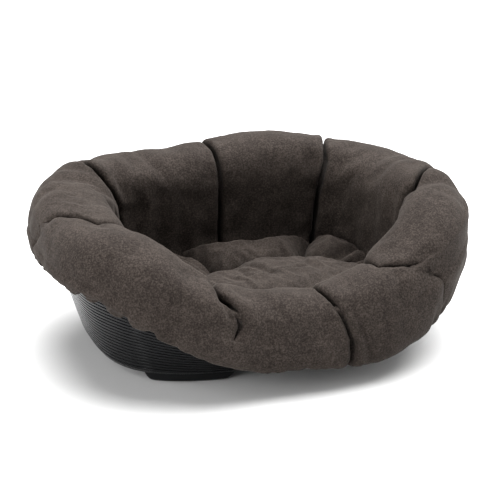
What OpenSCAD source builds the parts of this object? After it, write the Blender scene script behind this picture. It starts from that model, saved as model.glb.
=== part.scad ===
// Pet bed: a ribbed plastic tub with a low front entry, and a padded plush cover that lifts off it.
// The origin is on the floor under the middle of the bed. +X is right, +Y is back, +Z is up.
// Every wall and pad is placed by three numbers: q, the plan angle of a station round the rim
// (0 is right, 90 is back, 270 is the front entry), o, the distance outward from the rim's outline,
// and z, the height above the floor.

/* [Tub outline] */
// Half length of the rim's outline
rim_a = 304; // [290:1:315]
// Half width of the rim's outline
rim_b = 234; // [225:1:245]
// Squareness of the outline, where 2 is an ellipse
rim_n = 2.8; // [2.4:0.1:2.9]
// How far the wall leans in from the rim to the base
taper = 58; // [50:1:66]

/* [Tub heights] */
// Height of the flat base above the floor
base_z = 13; // [12:0.5:16]
// Height of the rim at the front entry
front_h = 112; // [106:1:125]
// Height of the rim at the two ends
side_h = 194; // [180:1:205]
// Height of the rim at the back
back_h = 205; // [190:1:215]
// Plan angle from the front at which the rim starts to climb
dip_start = 10; // [5:1:25]
// Plan angle from the front at which the rim reaches its full height
dip_end = 68; // [62:1:90]

/* [Tub wall] */
// Thickness of the moulded wall and floor
wall = 3; // [2.5:0.1:3.5]
// Number of horizontal ribs round the outside
rib_count = 14; // [8:1:16]
// Height of a rib above the wall
rib_h = 1.6; // [0.8:0.1:2]
// How far the rolled rim stands out from the wall
lip_out = 6; // [4:0.5:6.5]
// Diameter of a vent hole in the floor
vent_d = 8; // [5:0.5:10]

/* [Feet] */
// Plan angle from the end of the tub to the middle of a foot
foot_mid = 52; // [46:1:58]
// Half of the plan angle that a foot covers
foot_half = 17; // [12:1:19]
// Width of a foot
foot_w = 22; // [18:1:26]
// Diameter of the two pegs that hold a foot
peg_d = 8; // [6:0.5:9]
// Thickness of the rubber grip under a foot
grip_t = 3; // [2.5:0.1:4]

/* [Cover bolster] */
// How far the bolster stands out from the rim's outline
bulge_out = 17; // [16:0.5:20]
// How far the bolster reaches in over the tub
bulge_in = 100; // [92:1:104]
// Height of the bolster's crown above the rim
crown = 32; // [26:1:36]
// Depth below the rim at which the crown's curve begins
spring_drop = 12; // [8:1:14]
// Depth of the skirt's lower edge below the rim
hem_drop = 80; // [74:1:86]
// How much further the edge is pulled down over the right of the front
hem_sag = 56; // [40:1:58]
// Plan angle at which it hangs lowest
sag_at = 328; // [320:1:335]
// Plan angle from there to where it is level again
sag_half = 65; // [55:1:75]
// How much higher the edge rides at the left
hem_ride = 30; // [20:1:34]
// Plan angle at which it rides highest
ride_at = 197; // [190:1:205]
// Plan angle from there to where it is level again
ride_half = 42; // [35:1:50]
// Thickness of the plush and its backing
skin_t = 4; // [3:0.5:4.5]
// Thickness of the lining against the tub
lining_t = 2; // [1.5:0.5:2]

/* [Cover seat] */
// Height of a seat pillow
seat_h = 86; // [70:1:90]
// Distance of the left tuft from the middle
tuft_left = 36; // [25:1:50]
// Distance of the right tuft from the middle
tuft_right = 100; // [70:1:110]
// Distance of both tufts behind the middle
tuft_back = 36; // [20:1:45]

/* [Hidden] */

plastic = [0.09, 0.09, 0.1];
rubber = [0.05, 0.05, 0.05];
plush = [0.33, 0.3, 0.28];
fibre = [0.92, 0.92, 0.9];
lining = [0.2, 0.19, 0.19];

station = 5;           // plan angle from one station to the next
fit_gap = 0.4;         // clearance between two pieces of the cover
tub_gap = 1.5;         // clearance between the tub and the cover's lining
seam_gap = 0.12;       // half of the plan angle left open at a seam between two panels
lip_top = 3;           // height of the rolled rim above the rim line
floor_z = base_z + wall;
lining_z = floor_z + 1;
cover_z = lining_z + lining_t + fit_gap;
skirt_in = lip_out + tub_gap;
skirt_top = 38;        // depth below the rim at which the skirt joins the bolster
skirt_t = 9;           // thickness of the skirt's padding
seat_o = -bulge_in - 1.5;
hem_h = 12;            // height of the hem casing
hem_w = 6.5;           // width of the hem casing
elastic_h = 7;
elastic_w = 2;

// Plan angles of the eight seams across the bolster, from the right of the entry round
bolster_seams = [280, 310, 357, 407, 451, 503, 542, 605, 640];
// Plan angles at which the six seat seams meet the bolster, from the right end round
seat_seams = [0, 48, 112, 150, 225, 335, 360];

function smooth(t) = let (c = min(1, max(0, t))) c * c * (3 - 2 * c);
function blend(a, b, t) = a + (b - a) * t;
function signed_pow(v, p) = sign(v) * pow(abs(v), p);

// Plan angle away from the front: 0 at the entry and 180 at the back
function from_front(q) = abs((q + 270) % 360 - 180);

function rim_z(q) = let (d = from_front(q))
    front_h
    + (side_h - front_h) * smooth((d - dip_start) / (dip_end - dip_start))
    + (back_h - side_h) * smooth((d - dip_end) / (180 - dip_end));

function rim_xy(q) =
    pow(pow(abs(cos(q)) / rim_a, rim_n) + pow(abs(sin(q)) / rim_b, rim_n), -1 / rim_n)
    * [cos(q), sin(q)];

// Unit vector square to the rim's outline
function outward(q) = let (
    p = rim_xy(q),
    g = [signed_pow(p.x / rim_a, rim_n - 1) / rim_a, signed_pow(p.y / rim_b, rim_n - 1) / rim_b])
    g / norm(g);

function place(q, o, z) = let (p = rim_xy(q) + outward(q) * o) [p.x, p.y, z];

// All the stations of a full turn, and those from one plan angle to another
turn = [for (q = [0 : station : 359]) q];
function span(from, to) = concat([from],
    [for (q = [ceil((from + 0.5) / station) * station : station : to - 0.5]) q], [to]);

// The two triangles of the square between points a and b of one ring and the next ring, n points
// on, cut from a to the far end of b, or the other way
function cut(a, b, n, other) =
    other ? [[a, a + n, b], [b, a + n, b + n]] : [[a, b + n, b], [a, a + n, b + n]];

// Solid over a list of rings that have equal numbers of points, with a flat face at each end. The
// first few squares up each station are cut the other way, so that they lie flat on a neighbour
module skinned(rings, first = 0) {
    n = len(rings[0]);
    last = (len(rings) - 1) * n;
    sides = [for (k = [0 : len(rings) - 2], i = [0 : n - 1])
        each cut(k * n + i, k * n + (i + 1) % n, n, k < first)];
    polyhedron([for (r = rings) each r],
        concat([[for (i = [0 : n - 1]) i]], sides, [[for (i = [n - 1 : -1 : 0]) last + i]]));
}

// Solid swept through ribbon-shaped sections, each a front line and then its back line reversed
module ribbon(sections) {
    n = len(sections[0]);
    half = n / 2;
    last = (len(sections) - 1) * n;
    sides = [for (k = [0 : len(sections) - 2], i = [0 : n - 1])
        each reversed_faces(cut(k * n + i, k * n + (i + 1) % n, n, i >= half))];
    ends = [for (i = [0 : half - 2]) let (j = n - 1 - i)
        each [[i, j, j - 1], [i, j - 1, i + 1], [last + i, last + j - 1, last + j],
            [last + i, last + i + 1, last + j - 1]]];
    polyhedron([for (s = sections) each s], concat(sides, ends));
}

function reversed(list) = [for (i = [len(list) - 1 : -1 : 0]) list[i]];
function reversed_faces(faces) = [for (f = faces) reversed(f)];

// Closed band: one cross-section for each station, and the last joined to the first
module band(sections) {
    n = len(sections[0]);
    m = len(sections);
    polyhedron([for (s = sections) each s],
        [for (k = [0 : m - 1], i = [0 : n - 1])
            let (j = (i + 1) % n, a = k * n, b = ((k + 1) % m) * n)
            each [[a + i, b + i, b + j], [a + i, b + j, a + j]]]);
}

// ---- Tub ----

// Point of the wall's outer face, where t is 0 at the base and 1 at the rim
function wall_at(q, t, out) = place(q, -taper * (1 - t) + out, blend(base_z, rim_z(q), t));

// How far out the wall is at a height z
function wall_o(q, z) = -taper * (rim_z(q) - z) / (rim_z(q) - base_z);

rib_low = 0.04;
rib_high = 0.94;
rib_ts = [for (i = [0 : 2 * rib_count]) blend(rib_low, rib_high, i / (2 * rib_count))];

// Heights up the inner wall, as shares of the whole, at which the tub, lining and fill have points
wall_ts = [0.6, 0.3, 0.1];
floor_in = 4;          // how far the floor's edge is in from the foot of the inner wall

// Rings of the tub, up the ribbed outside, over the rolled rim and down the inside
tub_rings = concat(
    [[for (q = turn) wall_at(q, 0, -wall)], [for (q = turn) wall_at(q, 0.015, 0)]],
    [for (i = [0 : len(rib_ts) - 1]) [for (q = turn) wall_at(q, rib_ts[i], i % 2 == 1 ? rib_h : 0)]],
    [for (p = [[0, -6], [lip_out, -5], [lip_out, 0], [lip_out - 3, lip_top], [0, lip_top], [-wall, -1]])
        [for (q = turn) place(q, p[0], rim_z(q) + p[1])]],
    [for (t = wall_ts) [for (q = turn) wall_at(q, t, -wall)]],
    [[for (q = turn) place(q, -taper - wall - floor_in, floor_z)]]);

vent_rows = [[-60, 4], [0, 5], [60, 4]];
vent_pitch = 62;
// Points of the vent pattern, each row centred
vent_at = [for (r = vent_rows, i = [0 : r[1] - 1]) [(i - (r[1] - 1) / 2) * vent_pitch, r[0]]];

module tub_shell() {
    color(plastic)
        difference() {
            skinned(tub_rings);
            for (p = vent_at)
                translate([p.x, p.y, base_z - 1])
                    cylinder(h = wall + 2, d = vent_d, $fn = 48);
            for (side = [0, 1], end = [0, 1])
                mirror([side, 0, 0])
                    mirror([0, end, 0])
                        peg_holes();
        }
}

// ---- Feet and grips, drawn for the rear right corner and mirrored to the others ----

foot_line = -taper - 3 - foot_w / 2;   // middle of a foot's width, set in from the base's edge
foot_z = 1;            // underside of a foot
foot_step = 4.5;       // height of a foot's narrower lower part
foot_inset = 2;        // how far the lower part is in from the upper one at each side
foot_slope = 1.6;      // plan angle by which the lower part is shorter at each end
peg_play = 0.2;        // how much narrower a peg is than its hole
grip_w = 12;           // width of a grip
grip_end = 4;          // plan angle from a foot's end to its grip's end
grip_play = 0.4;       // how much wider a grip's groove is than the grip
grip_slack = 0.2;      // plan angle by which the groove is longer at each end
peg_angles = [foot_mid - foot_half / 2, foot_mid + foot_half / 2];

function arc_line(o, half) = [for (i = [-8 : 8]) let (p = place(foot_mid + half * i / 8, o, 0)) [p.x, p.y]];
function arc_band(o, w, half) = concat(arc_line(o + w / 2, half), reversed(arc_line(o - w / 2, half)));

module peg_holes() {
    for (q = peg_angles)
        translate(place(q, foot_line, base_z - 1))
            cylinder(h = wall + 2, d = peg_d, $fn = 48);
}

module foot() {
    color(plastic) {
        difference() {
            union() {
                // The foot is longer where it meets the tub, so its two ends look sloped
                translate([0, 0, foot_z])
                    linear_extrude(foot_step)
                        polygon(arc_band(foot_line, foot_w - 2 * foot_inset, foot_half - foot_slope));
                translate([0, 0, foot_z + foot_step])
                    linear_extrude(base_z - foot_z - foot_step)
                        polygon(arc_band(foot_line, foot_w, foot_half));
                for (q = peg_angles)
                    translate(place(q, foot_line, base_z - 1))
                        cylinder(h = wall + 1, d = peg_d - peg_play, $fn = 48);
            }
            linear_extrude(grip_t)
                polygon(arc_band(foot_line, grip_w + grip_play, foot_half - grip_end + grip_slack));
        }
    }
}

module grip() {
    color(rubber)
        linear_extrude(grip_t)
            polygon(arc_band(foot_line, grip_w, foot_half - grip_end));
}

module foot_front_left() { mirror([1, 0, 0]) mirror([0, 1, 0]) foot(); }
module foot_front_right() { mirror([0, 1, 0]) foot(); }
module foot_rear_left() { mirror([1, 0, 0]) foot(); }
module foot_rear_right() { foot(); }
module grip_front_left() { mirror([1, 0, 0]) mirror([0, 1, 0]) grip(); }
module grip_front_right() { mirror([0, 1, 0]) grip(); }
module grip_rear_left() { mirror([1, 0, 0]) grip(); }
module grip_rear_right() { grip(); }

// ---- Bolster ----

// Outline of the plush at one station, from the skirt's lower edge over the crown to the seat,
// set in from the surface by the given depth
function plush_line(q, depth) = let (
    h = rim_z(q),
    half_w = (bulge_out + bulge_in) / 2 - depth,
    mid = (bulge_out - bulge_in) / 2,
    low = h - spring_drop,
    rise = crown + spring_drop - depth,
    square = 0.75)
    concat(
        [[bulge_out - depth, h - skirt_top]],
        [for (u = [0 : 22.5 : 180])
            [mid + half_w * signed_pow(cos(u), square), low + rise * pow(sin(u), square)]],
        [[mid - half_w, cover_z]]);

// The lining's side of a fill, from the skirt up over the rim and down the tub's inner wall,
// with as many points as the plush outline
function back_line(q) = let (
    h = rim_z(q),
    face = lining_t + fit_gap,
    inside = -wall - tub_gap - face,
    top = h + lip_top + tub_gap + face)
    concat(
        [[skirt_in + face, h - skirt_top], [skirt_in + face, h - spring_drop], [skirt_in + face, h]],
        [[skirt_in + face, top - 2], [skirt_in + face - 2, top], [inside + 4, top], [inside, h]],
        [for (t = wall_ts) [inside - taper * (1 - t), blend(base_z, h, t)]],
        [[inside - taper - floor_in, cover_z]]);

function to_points(q, line) = [for (p = line) place(q, p[0], p[1])];

module panel(i) {
    color(plush)
        ribbon([for (q = span(bolster_seams[i] + seam_gap, bolster_seams[i + 1] - seam_gap))
            to_points(q, concat(plush_line(q, 0), reversed(plush_line(q, skin_t))))]);
}

module fill(i) {
    color(fibre)
        ribbon([for (q = span(bolster_seams[i] + seam_gap, bolster_seams[i + 1] - seam_gap))
            to_points(q, concat(plush_line(q, skin_t + fit_gap), reversed(back_line(q))))]);
}

module panel_front_right() { panel(0); }
module panel_right() { panel(1); }
module panel_back_right() { panel(2); }
module panel_back() { panel(3); }
module panel_back_left() { panel(4); }
module panel_left() { panel(5); }
module panel_front_left() { panel(6); }
module panel_front() { panel(7); }
module fill_front_right() { fill(0); }
module fill_right() { fill(1); }
module fill_back_right() { fill(2); }
module fill_back() { fill(3); }
module fill_back_left() { fill(4); }
module fill_left() { fill(5); }
module fill_front_left() { fill(6); }
module fill_front() { fill(7); }

// ---- Lining, skirt and hem ----

// One face of the lining from the middle of the floor, up the wall, over the rim and down to the
// skirt. Face is 0 for the side against the tub and the lining's thickness for the other side
function lining_line(q, face) = let (
    h = rim_z(q),
    inside = -wall - tub_gap - face,
    top = h + lip_top + tub_gap + face)
    concat(
        [[inside - taper - floor_in, lining_z + face]],
        [for (t = reversed(wall_ts)) [inside - taper * (1 - t), blend(base_z, h, t)]],
        [[inside, h], [inside + 4, top], [skirt_in + face - 2, top], [skirt_in + face, top - 2]],
        [[skirt_in + face, h - skirt_top]]);

function lining_ring(face, i) = [for (q = turn) let (p = lining_line(q, face)[i]) place(q, p[0], p[1])];

module cover_lining() {
    last = len(lining_line(0, 0)) - 1;
    color(lining)
        skinned(concat(
            [for (i = [0 : last]) lining_ring(0, i)],
            [for (i = [last : -1 : 0]) lining_ring(lining_t, i)]), first = last);
}

// Distance outward and height of the hem casing's inner lower corner, clear of the tub's ribs
function hill(q, top, half) = smooth(1 - abs((q - top + 540) % 360 - 180) / half);
function hem_z(q) = rim_z(q) - hem_drop - hem_sag * hill(q, sag_at, sag_half)
    + hem_ride * hill(q, ride_at, ride_half);
function hem_o(q) = wall_o(q, hem_z(q) + hem_h) + rib_h + 1;

// Padded band that curves in under the rim from the bolster to the hem
module cover_skirt() {
    steps = 5;
    outer = function (q, s) [
        blend(hem_o(q) + skirt_t, bulge_out, sqrt(1 - s * s)),
        blend(rim_z(q) - skirt_top - fit_gap, hem_z(q) + hem_h + fit_gap, s)];
    inner = function (q, s) let (p = outer(q, s))
        [max(p[0] - skirt_t, hem_o(q)), p[1]];
    color(plush)
        band([for (q = turn) to_points(q, concat(
            [for (k = [0 : steps]) outer(q, k / steps)],
            [for (k = [steps : -1 : 0]) inner(q, k / steps)]))]);
}

// Casing sewn along the skirt's lower edge: a channel that holds the elastic
module hem_casing() {
    lip = (hem_h - elastic_h) / 2 - fit_gap;
    back = elastic_w + 2 * fit_gap;
    color(plush)
        band([for (q = turn) let (z = hem_z(q), o = hem_o(q)) to_points(q, [
            [o + hem_w, z], [o + hem_w, z + hem_h], [o, z + hem_h], [o, z + hem_h - lip],
            [o + back, z + hem_h - lip], [o + back, z + lip], [o, z + lip], [o, z]])]);
}

module hem_elastic() {
    color(fibre)
        band([for (q = turn) let (z = hem_z(q) + (hem_h - elastic_h) / 2, o = hem_o(q) + fit_gap)
            to_points(q, [[o + elastic_w, z], [o + elastic_w, z + elastic_h], [o, z + elastic_h], [o, z]])]);
}

// ---- Seat ----

tufts = [[-tuft_left, tuft_back], [tuft_right, tuft_back]];
// Which tufts each pillow reaches: 0 is the left one and 1 the right one
pillow_tufts = [[1], [0, 1], [0], [0], [1, 0], [1]];

function seat_edge(q) = let (p = place(q, seat_o, 0)) [p.x, p.y];

// Plan outline of a pillow, from the seat's edge to its tufts
function pillow_outline(i) = concat(
    [for (k = [0 : 8]) seat_edge(blend(seat_seams[i] + 0.5, seat_seams[i + 1] - 0.5, k / 8))],
    [for (t = pillow_tufts[i]) tufts[t]]);

function middle(list) = [for (v = list) 1] * list / len(list);

// Level ring of a pillow, drawn in towards its middle by the given scale
function pillow_ring(i, s, z) = let (p = pillow_outline(i), c = middle(p))
    [for (v = p) let (w = c + (v - c) * s) [w.x, w.y, z]];

// Rings of a pillow's surface from its lower edge to its crown
pillow_profile = [[0.94, 0], [0.985, 0.12], [0.985, 0.55], [0.93, 0.8], [0.78, 0.93], [0.45, 1]];

function pillow_rings(i, in, down) = [for (p = pillow_profile)
    pillow_ring(i, p[0] - in, cover_z + p[1] * (seat_h - down))];

skin_in = 0.06;        // how much smaller a pillow's fill is than its cover, as a share of its width
fill_in = 0.01;        // how much smaller again the fill is, so that it fits inside

module seat(i) {
    color(plush)
        skinned(concat(reversed(pillow_rings(i, skin_in, skin_t)), pillow_rings(i, 0, 0)));
}

module seat_fill(i) {
    color(fibre)
        skinned(pillow_rings(i, skin_in + fill_in, skin_t + fit_gap));
}

module seat_back_right() { seat(0); }
module seat_back() { seat(1); }
module seat_back_left() { seat(2); }
module seat_front_left() { seat(3); }
module seat_front() { seat(4); }
module seat_front_right() { seat(5); }
module seat_fill_back_right() { seat_fill(0); }
module seat_fill_back() { seat_fill(1); }
module seat_fill_back_left() { seat_fill(2); }
module seat_fill_front_left() { seat_fill(3); }
module seat_fill_front() { seat_fill(4); }
module seat_fill_front_right() { seat_fill(5); }

tub_shell();
foot_front_left();
foot_front_right();
foot_rear_left();
foot_rear_right();
grip_front_left();
grip_front_right();
grip_rear_left();
grip_rear_right();
panel_front();
panel_front_right();
panel_right();
panel_back_right();
panel_back();
panel_back_left();
panel_left();
panel_front_left();
fill_front();
fill_front_right();
fill_right();
fill_back_right();
fill_back();
fill_back_left();
fill_left();
fill_front_left();
seat_back();
seat_back_right();
seat_front_right();
seat_front();
seat_front_left();
seat_back_left();
seat_fill_back();
seat_fill_back_right();
seat_fill_front_right();
seat_fill_front();
seat_fill_front_left();
seat_fill_back_left();
cover_lining();
cover_skirt();
hem_casing();
hem_elastic();
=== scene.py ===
"""A pet bed: a ribbed plastic tub with a low front entry, and a padded plush cover that lifts off it.

Lengths are in metres. As in the CAD model, every wall and pad is placed by q, the plan angle of a
station round the rim (0 is right, 90 is back, 270 is the front entry), o, the distance outward from
the rim's outline, and z, the height above the floor.
"""
import math

import bpy
import numpy as np
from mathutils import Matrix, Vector, noise
from mathutils.geometry import delaunay_2d_cdt


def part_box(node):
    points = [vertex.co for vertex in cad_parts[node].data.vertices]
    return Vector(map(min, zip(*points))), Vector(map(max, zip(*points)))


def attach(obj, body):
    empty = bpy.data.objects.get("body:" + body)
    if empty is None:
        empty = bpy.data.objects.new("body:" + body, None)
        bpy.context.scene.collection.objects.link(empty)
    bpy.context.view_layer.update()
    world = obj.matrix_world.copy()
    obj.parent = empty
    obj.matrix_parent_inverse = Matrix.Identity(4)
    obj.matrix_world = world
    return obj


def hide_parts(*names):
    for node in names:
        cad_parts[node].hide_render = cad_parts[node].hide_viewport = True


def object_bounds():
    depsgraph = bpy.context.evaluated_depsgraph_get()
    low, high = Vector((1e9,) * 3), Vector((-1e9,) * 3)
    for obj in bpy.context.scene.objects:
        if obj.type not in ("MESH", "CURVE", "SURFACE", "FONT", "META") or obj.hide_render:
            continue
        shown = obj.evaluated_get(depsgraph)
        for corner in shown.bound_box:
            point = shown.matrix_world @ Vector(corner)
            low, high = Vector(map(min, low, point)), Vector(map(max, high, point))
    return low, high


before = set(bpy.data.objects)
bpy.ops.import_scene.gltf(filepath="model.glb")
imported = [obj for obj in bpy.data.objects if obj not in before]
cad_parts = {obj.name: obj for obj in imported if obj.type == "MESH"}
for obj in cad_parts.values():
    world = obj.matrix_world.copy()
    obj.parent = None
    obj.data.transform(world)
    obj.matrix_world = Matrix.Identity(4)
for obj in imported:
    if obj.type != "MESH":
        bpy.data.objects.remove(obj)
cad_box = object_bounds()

# ---- Dimensions ----

tub_low, tub_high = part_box("tub_shell")
seat_low, seat_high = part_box("seat_front")
panel_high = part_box("panel_back")[1]

LIP_OUT = 0.006          # how far the rolled rim stands out
LIP_TOP = 0.003          # how far the rolled rim stands above the rim line
RIM_A = tub_high.x - LIP_OUT
RIM_B = tub_high.y - LIP_OUT
RIM_N = 2.8              # squareness of the rim's outline
TAPER = 0.058            # how far the wall leans in from the rim to the base
WALL = 0.003
BASE_Z = tub_low.z
FRONT_H = 0.112
SIDE_H = 0.194
BACK_H = tub_high.z - LIP_TOP
DIP_START = 10           # plan angles from the front between which the rim climbs
DIP_END = 68
BULGE_OUT = 0.017        # how far the bolster stands out from the rim and in over the tub
BULGE_IN = 0.100
CROWN = panel_high.z - BACK_H
HEM_DROP = 0.080
HEM_SAG = (0.056, 328, 65)       # further drop of the hem at the right, its plan angle and half width
HEM_RIDE = (0.030, 197, 42)      # rise of the hem at the left
HEM_H = 0.012
HEM_W = 0.0065
RIB_STEP = 0.0026        # how far the hem keeps off the tub's wall, over its ribs
SKIRT_T = 0.009
SKIRT_TOP = 0.038
COVER_Z = seat_low.z     # underside of the cover's pads
SEAT_TOP = seat_high.z
TUB_GAP = 0.0015
LINING_T = 0.002
FIT_GAP = 0.0004

PANELS = ["front_right", "right", "back_right", "back", "back_left", "left", "front_left", "front"]


# ---- Shape of the tub and the bolster ----

def smooth(t):
    t = np.clip(t, 0, 1)
    return t * t * (3 - 2 * t)


def mix(a, b, t):
    return a + (b - a) * t


def signed_pow(v, p):
    return np.sign(v) * np.abs(v) ** p


def from_front(q):
    return np.abs((q + 270) % 360 - 180)


def rim_z(q):
    d = from_front(q)
    return (FRONT_H + (SIDE_H - FRONT_H) * smooth((d - DIP_START) / (DIP_END - DIP_START))
            + (BACK_H - SIDE_H) * smooth((d - DIP_END) / (180 - DIP_END)))


def rim_xy(q):
    c, s = np.cos(np.radians(q)), np.sin(np.radians(q))
    r = (np.abs(c / RIM_A) ** RIM_N + np.abs(s / RIM_B) ** RIM_N) ** (-1 / RIM_N)
    return np.stack([r * c, r * s], -1)


def outward(q):
    half = np.array([RIM_A, RIM_B])
    g = signed_pow(rim_xy(q) / half, RIM_N - 1) / half
    return g / np.linalg.norm(g, axis=-1, keepdims=True)


def place(q, o, z):
    q, o, z = np.broadcast_arrays(np.asarray(q, float), o, z)
    return np.concatenate([rim_xy(q) + outward(q) * o[..., None], z[..., None]], -1)


def wall_at(q, t, out):
    """A point of the tub's wall, where t is 0 at the base and 1 at the rim."""
    return place(q, -TAPER * (1 - t) + out, mix(BASE_Z, rim_z(q), t))


def wall_o(q, z):
    return -TAPER * (rim_z(q) - z) / (rim_z(q) - BASE_Z)


def hill(q, top, half):
    return smooth(1 - np.abs((q - top + 540) % 360 - 180) / half)


def hem_z(q):
    sag, sag_at, sag_half = HEM_SAG
    ride, ride_at, ride_half = HEM_RIDE
    return rim_z(q) - HEM_DROP - sag * hill(q, sag_at, sag_half) + ride * hill(q, ride_at, ride_half)


def hem_o(q):
    return wall_o(q, hem_z(q) + HEM_H) + RIB_STEP


# How the padding lies unevenly: plan angle, and millimetres by which the crown is higher there
CROWN_MORE = [(0, 8), (6, 0), (15, -6), (30, -6), (40, -1), (48, 5), (68, 6), (88, 5), (95, 0), (108, -5),
              (122, -4), (132, 3), (142, 14), (149, 6), (158, 0), (205, 0), (222, 4), (235, -1), (250, -4),
              (272, -5), (284, -4), (292, 0), (303, -3), (320, 0), (343, 0), (350, 11), (360, 8)]
# Plan angle, and millimetres by which the bolster stands further out there
BULGE_MORE = [(0, 0), (165, 0), (185, -1), (205, -1), (225, 0), (242, 9), (256, 6), (272, 7), (283, 10),
              (294, 7), (312, 1), (335, -9), (348, -7), (360, 0)]
# Plan angle, and millimetres by which it reaches further in
INNER_MORE = [(0, -4), (15, 0), (130, 0), (150, 8), (185, 8), (205, 0), (222, 0), (245, -20),
              (290, -20), (306, -4), (325, -8), (350, -8), (360, -4)]
# Plan angle, and how full the skirt's curve is there: 1 is straight and 2 a quarter circle
SKIRT_FULL = [(0, 1.6), (100, 2), (170, 1.6), (195, 1.4), (215, 1.8), (240, 2), (262, 2.6), (285, 3.2),
              (302, 2.6), (320, 1.5), (335, 1.15), (350, 1.2), (360, 1.5)]


def uneven(q, table):
    """A smooth curve through a table of plan angles and values."""
    angles, values = (np.array(column, float) for column in zip(*table))
    a = np.asarray(q, float) % 360
    i = np.clip(np.searchsorted(angles, a, side="right") - 1, 0, len(angles) - 2)
    t = smooth((a - angles[i]) / (angles[i + 1] - angles[i]))
    return mix(values[i], values[i + 1], t)


def bulge_out(q):
    return BULGE_OUT + uneven(q, BULGE_MORE) * 0.001


def bulge_in(q):
    return BULGE_IN + uneven(q, INNER_MORE) * 0.001


def crown_at(q):
    return CROWN + uneven(q, CROWN_MORE) * 0.001


def skirt_curve(q, s):
    """How far out the skirt stands at a share s of the way down to the hem: from 1 at its top to 0."""
    full = uneven(q, SKIRT_FULL)
    return (1 - s ** full) ** (1 / full)


# ---- Mesh helpers ----

def grid_faces(rows, cols, wrap_rows=False, wrap_cols=False):
    """Squares over a grid of points numbered row by row."""
    r = np.arange(rows if wrap_rows else rows - 1)[:, None]
    c = np.arange(cols if wrap_cols else cols - 1)[None, :]
    r2, c2 = (r + 1) % rows, (c + 1) % cols
    quads = np.stack([r * cols + c, r * cols + c2, r2 * cols + c2, r2 * cols + c], -1)
    return quads.reshape(-1, 4).tolist()


def link(obj):
    bpy.context.scene.collection.objects.link(obj)
    return obj


def new_object(name, points, faces, material=None, crease_angle=None):
    mesh = bpy.data.meshes.new(name)
    mesh.from_pydata(np.asarray(points, float).reshape(-1, 3).tolist(), [], faces)
    mesh.validate()
    mesh.shade_smooth()
    if crease_angle is not None:
        mesh.set_sharp_from_angle(angle=math.radians(crease_angle))
    if material:
        mesh.materials.append(material)
    return link(bpy.data.objects.new(name, mesh))


def points_of(mesh):
    co = np.zeros(len(mesh.vertices) * 3)
    mesh.vertices.foreach_get("co", co)
    return co.reshape(-1, 3)


def apply_subdivision(objects):
    """Subdivides the objects once, and leaves no modifier on them."""
    for obj in objects:
        modifier = obj.modifiers.new("Subdivision", "SUBSURF")
        modifier.levels = 1
        modifier.render_levels = 1
    graph = bpy.context.evaluated_depsgraph_get()
    finer = [bpy.data.meshes.new_from_object(obj.evaluated_get(graph)) for obj in objects]
    for obj, mesh in zip(objects, finer):
        obj.modifiers.clear()
        old, name = obj.data, obj.data.name
        obj.data = mesh
        bpy.data.meshes.remove(old)
        mesh.name = name
        mesh.shade_smooth()


def curve_through(p0, p1, p2, p3, t):
    """Points between p1 and p2 on the Catmull-Rom curve through four rows of points."""
    return 0.5 * (2 * p1 + (p2 - p0) * t + (2 * p0 - 5 * p1 + 4 * p2 - p3) * t ** 2
                  + (3 * p1 - p0 - 3 * p2 + p3) * t ** 3)


def along(grid, positions):
    """A grid's points at fractional positions along its columns, on smooth curves."""
    count = grid.shape[1]
    i = np.clip(np.floor(positions).astype(int), 0, count - 2)
    t = (positions - i)[None, :, None]
    p1, p2 = grid[:, i], grid[:, i + 1]
    p0 = np.where((i == 0)[None, :, None], 2 * p1 - p2, grid[:, np.maximum(i - 1, 0)])
    p3 = np.where((i == count - 2)[None, :, None], 2 * p2 - p1, grid[:, np.minimum(i + 2, count - 1)])
    return curve_through(p0, p1, p2, p3, t)


def twice_the_rows(grid):
    """A grid that closes on itself from its last row to its first, with a new row between each two."""
    new = curve_through(np.roll(grid, 1, 0), grid, np.roll(grid, -1, 0), np.roll(grid, -2, 0), 0.5)
    return np.stack([grid, new], axis=1).reshape(-1, *grid.shape[1:])


def grid_normals(points):
    """Unit normals of a grid of points, from its rows and columns."""
    n = np.cross(np.gradient(points, axis=1), np.gradient(points, axis=0))
    return n / np.maximum(np.linalg.norm(n, axis=-1, keepdims=True), 1e-12)


def noise_at(points, scale, seed):
    """Smooth noise from -1 to 1 at each point."""
    flat = np.asarray(points).reshape(-1, 3) * scale + seed * 7.3
    return np.array([noise.noise(p) for p in flat.tolist()]).reshape(points.shape[:-1])


def swell(obj, held, stuffing, pressure, grow, cap, frames=20, bending=2.0):
    """The points of a closed cloth form after it is blown up over its stuffing, which keeps every
    point near its place by the given weight, with the held points fixed."""
    rest = points_of(obj.data)
    group = obj.vertex_groups.new(name="pinned")
    group.add(list(range(len(rest))), stuffing, "REPLACE")
    group.add([int(i) for i in held], 1.0, "REPLACE")
    cloth = obj.modifiers.new("Cloth", "CLOTH")
    settings = cloth.settings
    settings.quality = 6
    settings.mass = 0.3
    settings.tension_stiffness = 20
    settings.compression_stiffness = 20
    settings.shear_stiffness = 8
    settings.bending_stiffness = bending
    settings.vertex_group_mass = "pinned"
    settings.pin_stiffness = 1
    settings.use_pressure = True
    settings.uniform_pressure_force = pressure
    settings.shrink_min = -grow
    settings.effector_weights.gravity = 0
    cloth.collision_settings.use_collision = False
    cloth.point_cache.frame_start = 1
    cloth.point_cache.frame_end = frames
    scene = bpy.context.scene
    for f in range(1, frames + 1):
        scene.frame_set(f)
    graph = bpy.context.evaluated_depsgraph_get()
    mesh = bpy.data.meshes.new_from_object(obj.evaluated_get(graph))
    step = points_of(mesh) - rest
    bpy.data.meshes.remove(mesh)
    bpy.data.objects.remove(obj)
    scene.frame_set(1)
    length = np.linalg.norm(step, axis=1, keepdims=True)
    return rest + step * np.minimum(1, cap / np.maximum(length, 1e-9))


# ---- Materials ----

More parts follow.
